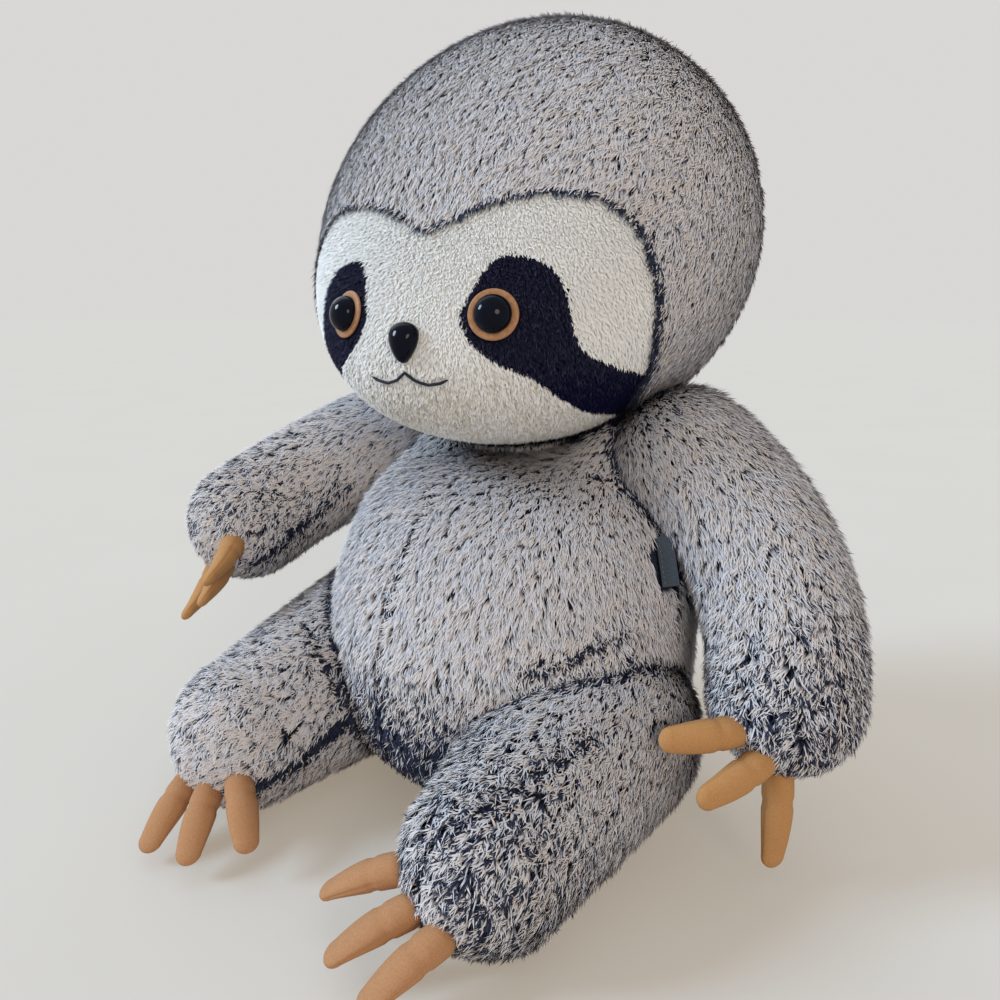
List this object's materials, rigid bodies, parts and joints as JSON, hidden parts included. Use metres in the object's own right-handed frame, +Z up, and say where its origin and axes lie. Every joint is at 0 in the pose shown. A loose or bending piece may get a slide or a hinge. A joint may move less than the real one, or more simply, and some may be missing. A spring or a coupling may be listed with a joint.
{
  "type": "plush sloth",
  "caption": "Seated stuffed sloth with a sewn-in pale face, dark eye patches, plastic eyes and nose, long soft limbs and bendable suede claws.",
  "frame": {"origin": "middle of the flat seat, on the ground", "axes": "+Z up, the toy looks along -Y, its left side is +X"},
  "size_m": [0.6275, 0.4585, 0.648],
  "materials": {
    "fur_grey": "long tipped pile",
    "face_cream": "short pile",
    "patch_dark": "short pile",
    "wadding_white": "matte",
    "suede_tan": "suede",
    "leather_tan": "matte",
    "gloss_black": "gloss",
    "washer_white": "matte",
    "thread_black": "embroidered",
    "label_slate": "woven",
    "linen": "matte"
  },
  "bodies": {
    "torso": {"torso_cover": "fur_grey", "torso_stuffing": "wadding_white", "pellet_bag": "linen"},
    "neck": {"neck_stuffing": "wadding_white"},
    "head": {"head_cover": "fur_grey", "head_stuffing": "wadding_white", "face_panel": "face_cream", "eye_patch_left": "patch_dark", "eye_ring_left": "leather_tan", "eye_left": "gloss_black", "eye_washer_left": "washer_white", "eye_patch_right": "patch_dark", "eye_ring_right": "leather_tan", "eye_right": "gloss_black", "eye_washer_right": "washer_white", "nose": "gloss_black", "nose_washer": "washer_white", "mouth_stitching": "thread_black"},
    "left_arm": {"left_arm_cover": "fur_grey", "left_arm_stuffing": "wadding_white"},
    "left_leg": {"left_leg_cover": "fur_grey", "left_leg_stuffing": "wadding_white"},
    "right_arm": {"right_arm_cover": "fur_grey", "right_arm_stuffing": "wadding_white"},
    "right_leg": {"right_leg_cover": "fur_grey", "right_leg_stuffing": "wadding_white"},
    "left_hand_claw_upper": {"left_hand_claw_upper": "suede_tan"},
    "left_hand_claw_middle": {"left_hand_claw_middle": "suede_tan"},
    "left_hand_claw_lower": {"left_hand_claw_lower": "suede_tan"},
    "left_foot_claw_inner": {"left_foot_claw_inner": "suede_tan"},
    "left_foot_claw_middle": {"left_foot_claw_middle": "suede_tan"},
    "left_foot_claw_outer": {"left_foot_claw_outer": "suede_tan"},
    "right_hand_claw_upper": {"right_hand_claw_upper": "suede_tan"},
    "right_hand_claw_middle": {"right_hand_claw_middle": "suede_tan"},
    "right_hand_claw_lower": {"right_hand_claw_lower": "suede_tan"},
    "right_foot_claw_inner": {"right_foot_claw_inner": "suede_tan"},
    "right_foot_claw_middle": {"right_foot_claw_middle": "suede_tan"},
    "right_foot_claw_outer": {"right_foot_claw_outer": "suede_tan"},
    "label": {"side_label": "label_slate"}
  },
  "joints": [
    {"name": "neck_turn", "type": "hinge", "parent": "torso", "child": "neck", "pos_m": [-0.0185, 0.052, 0.298], "axis": [0, 0, 1], "range_deg": [-15, 15]},
    {"name": "head_nod", "type": "hinge", "parent": "neck", "child": "head", "pos_m": [-0.0185, 0.052, 0.298], "axis": [-0.9848, -0.1736, 0], "range_deg": [-8, 8]},
    {"name": "left_shoulder", "type": "hinge", "parent": "torso", "child": "left_arm", "pos_m": [0.154, 0.042, 0.288], "axis": [-1, 0, 0], "range_deg": [-20, 55]},
    {"name": "right_shoulder", "type": "hinge", "parent": "torso", "child": "right_arm", "pos_m": [-0.154, 0.042, 0.288], "axis": [-1, 0, 0], "range_deg": [-60, 15]},
    {"name": "left_hip", "type": "hinge", "parent": "torso", "child": "left_leg", "pos_m": [0.12, -0.045, 0.085], "axis": [0, 0, 1], "range_deg": [0, 20]},
    {"name": "right_hip", "type": "hinge", "parent": "torso", "child": "right_leg", "pos_m": [-0.12, -0.045, 0.085], "axis": [0, 0, -1], "range_deg": [0, 20]},
    {"name": "left_hand_claw_upper_bend", "type": "hinge", "parent": "left_arm", "child": "left_hand_claw_upper", "pos_m": [0.24538, -0.0458, 0.11931], "axis": [-0.1347, 0.1581, 0.9782], "range_deg": [-15, 15]},
    {"name": "left_hand_claw_middle_bend", "type": "hinge", "parent": "left_arm", "child": "left_hand_claw_middle", "pos_m": [0.26467, -0.04101, 0.10008], "axis": [-0.3011, -0.1143, 0.9467], "range_deg": [-15, 15]},
    {"name": "left_hand_claw_lower_bend", "type": "hinge", "parent": "left_arm", "child": "left_hand_claw_lower", "pos_m": [0.27197, -0.01933, 0.07955], "axis": [-0.5556, -0.8214, 0.129], "range_deg": [-15, 15]},
    {"name": "right_hand_claw_upper_bend", "type": "hinge", "parent": "right_arm", "child": "right_hand_claw_upper", "pos_m": [-0.22926, -0.14649, 0.20037], "axis": [0.6493, 0.0945, 0.7547], "range_deg": [-15, 15]},
    {"name": "right_hand_claw_middle_bend", "type": "hinge", "parent": "right_arm", "child": "right_hand_claw_middle", "pos_m": [-0.24721, -0.14678, 0.17794], "axis": [0.6381, 0.1109, 0.7619], "range_deg": [-15, 15]},
    {"name": "right_hand_claw_lower_bend", "type": "hinge", "parent": "right_arm", "child": "right_hand_claw_lower", "pos_m": [-0.2738, -0.13781, 0.16562], "axis": [0.7221, -0.0277, 0.6912], "range_deg": [-15, 15]},
    {"name": "left_foot_claw_inner_bend", "type": "hinge", "parent": "left_leg", "child": "left_foot_claw_inner", "pos_m": [0.09046, -0.23954, 0.05041], "axis": [-0.4903, 0.8716, 0], "range_deg": [-5, 25]},
    {"name": "left_foot_claw_middle_bend", "type": "hinge", "parent": "left_leg", "child": "left_foot_claw_middle", "pos_m": [0.11395, -0.25242, 0.03955], "axis": [-0.7934, 0.6087, 0], "range_deg": [-5, 25]},
    {"name": "left_foot_claw_outer_bend", "type": "hinge", "parent": "left_leg", "child": "left_foot_claw_outer", "pos_m": [0.14263, -0.25477, 0.03643], "axis": [-0.9285, 0.3714, 0], "range_deg": [-5, 25]},
    {"name": "right_foot_claw_inner_bend", "type": "hinge", "parent": "right_leg", "child": "right_foot_claw_inner", "pos_m": [-0.09046, -0.23954, 0.05041], "axis": [-0.4903, -0.8716, 0], "range_deg": [-5, 25]},
    {"name": "right_foot_claw_middle_bend", "type": "hinge", "parent": "right_leg", "child": "right_foot_claw_middle", "pos_m": [-0.11395, -0.25242, 0.03955], "axis": [-0.7934, -0.6087, 0], "range_deg": [-5, 25]},
    {"name": "right_foot_claw_outer_bend", "type": "hinge", "parent": "right_leg", "child": "right_foot_claw_outer", "pos_m": [-0.14263, -0.25477, 0.03643], "axis": [-0.9285, -0.3714, 0], "range_deg": [-5, 25]},
    {"name": "label_seam", "type": "hinge", "parent": "torso", "child": "label", "pos_m": [0.15597, -0.02105, 0.22605], "axis": [-0.3229, 0.2337, 0.9171], "range_deg": [-20, 25]}
  ]
}
